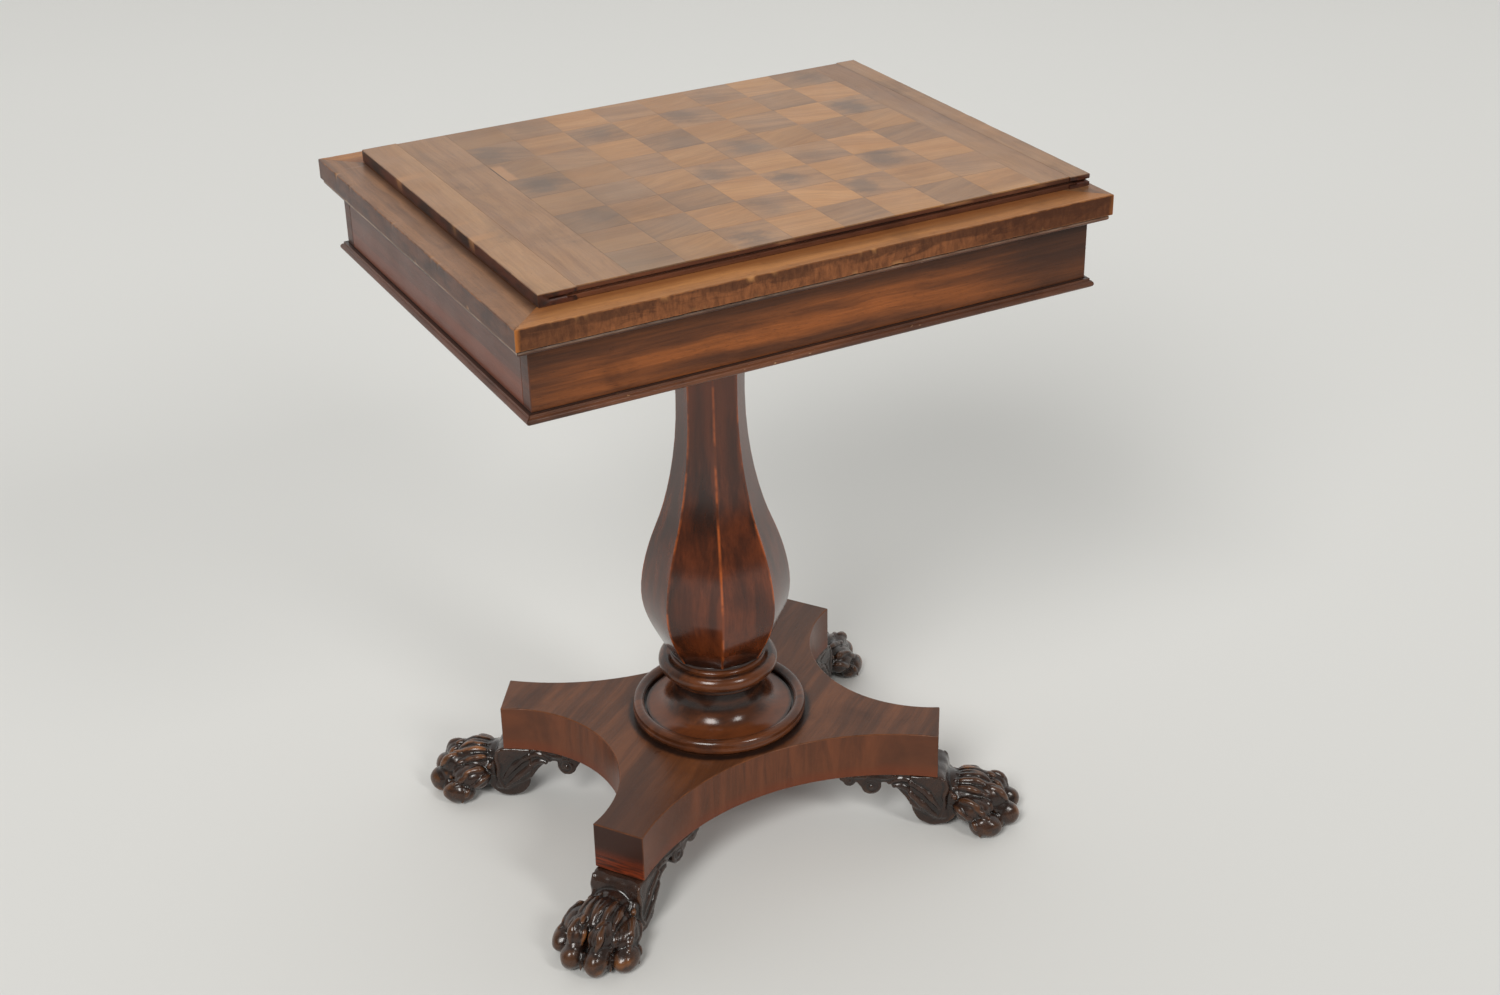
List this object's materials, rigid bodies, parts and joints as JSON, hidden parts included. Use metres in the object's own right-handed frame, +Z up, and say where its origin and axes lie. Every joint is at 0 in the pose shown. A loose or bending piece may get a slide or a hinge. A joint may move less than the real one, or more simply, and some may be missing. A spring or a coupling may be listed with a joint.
{
  "type": "games table",
  "caption": "Pedestal games table: a sliding chequered board over a shallow lined well, on an octagonal baluster column and a concave-sided platform with carved paw feet.",
  "frame": {"origin": "on the floor, under the middle of the top frame and the column's axis", "axes": "+Z up; +X to the right, along the top's longer side and the way the chessboard draws off; -Y to the front"},
  "size_m": [0.596, 0.482, 0.735],
  "materials": {
    "board_top": "old wax polish, sheen faded",
    "board_ground": "bare and waxed edges",
    "chequer_veneer": "light and dark veneer squares under faded wax polish",
    "frame_wood": "worn wax polish",
    "frieze_wood": "wax polish over figured veneer",
    "moulding_wood": "wax polish, rubbed on the high edge",
    "column_wood": "glossy wax polish over figured veneer",
    "turned_wood": "glossy wax polish",
    "platform_wood": "satin wax polish over figured veneer",
    "carved_wood": "dark polish, rubbed on the high points",
    "plain_wood": "bare deal",
    "baize": "matt woollen cloth",
    "iron": "dull"
  },
  "bodies": {
    "table": {"frame_rail_front": "frame_wood", "frame_rail_right": "frame_wood", "frame_rail_back": "frame_wood", "frame_rail_left": "frame_wood", "top_moulding_front": "moulding_wood", "top_moulding_right": "moulding_wood", "top_moulding_back": "moulding_wood", "top_moulding_left": "moulding_wood", "frieze_front": "frieze_wood", "frieze_right": "frieze_wood", "frieze_back": "frieze_wood", "frieze_left": "frieze_wood", "lower_moulding_front": "moulding_wood", "lower_moulding_right": "moulding_wood", "lower_moulding_back": "moulding_wood", "lower_moulding_left": "moulding_wood", "bottom_board": "plain_wood", "well_lining": "baize", "column_bearer": "plain_wood", "bearer_screw_front_left": "iron", "bearer_screw_front_right": "iron", "bearer_screw_back_right": "iron", "bearer_screw_back_left": "iron", "baluster": "column_wood", "column_spindle": "plain_wood", "spindle_wedge": "plain_wood", "collar": "turned_wood", "socle_neck": "turned_wood", "base_ring": "turned_wood", "platform": "platform_wood", "foot_dowel_front_left": "plain_wood", "foot_dowel_front_right": "plain_wood", "foot_dowel_back_right": "plain_wood", "foot_dowel_back_left": "plain_wood", "paw_front_left": "carved_wood", "paw_front_right": "carved_wood", "paw_back_right": "carved_wood", "paw_back_left": "carved_wood", "leaf_bracket_front_left": "carved_wood", "leaf_bracket_front_right": "carved_wood", "leaf_bracket_back_right": "carved_wood", "leaf_bracket_back_left": "carved_wood"},
    "chessboard": {"board_core": "board_ground", "left_cleat": "board_top", "right_cleat": "board_top", "left_field_strip": "board_top", "right_field_strip": "board_top", "chequer_row_1": "chequer_veneer", "chequer_row_2": "chequer_veneer", "chequer_row_3": "chequer_veneer", "chequer_row_4": "chequer_veneer", "chequer_row_5": "chequer_veneer", "chequer_row_6": "chequer_veneer", "chequer_row_7": "chequer_veneer", "chequer_row_8": "chequer_veneer", "front_guide_batten": "plain_wood", "back_guide_batten": "plain_wood"}
  },
  "joints": [
    {"name": "board_slide", "type": "slide", "parent": "table", "child": "chessboard", "axis": [1, 0, 0], "range_m": [-0.035, 0.26]}
  ]
}
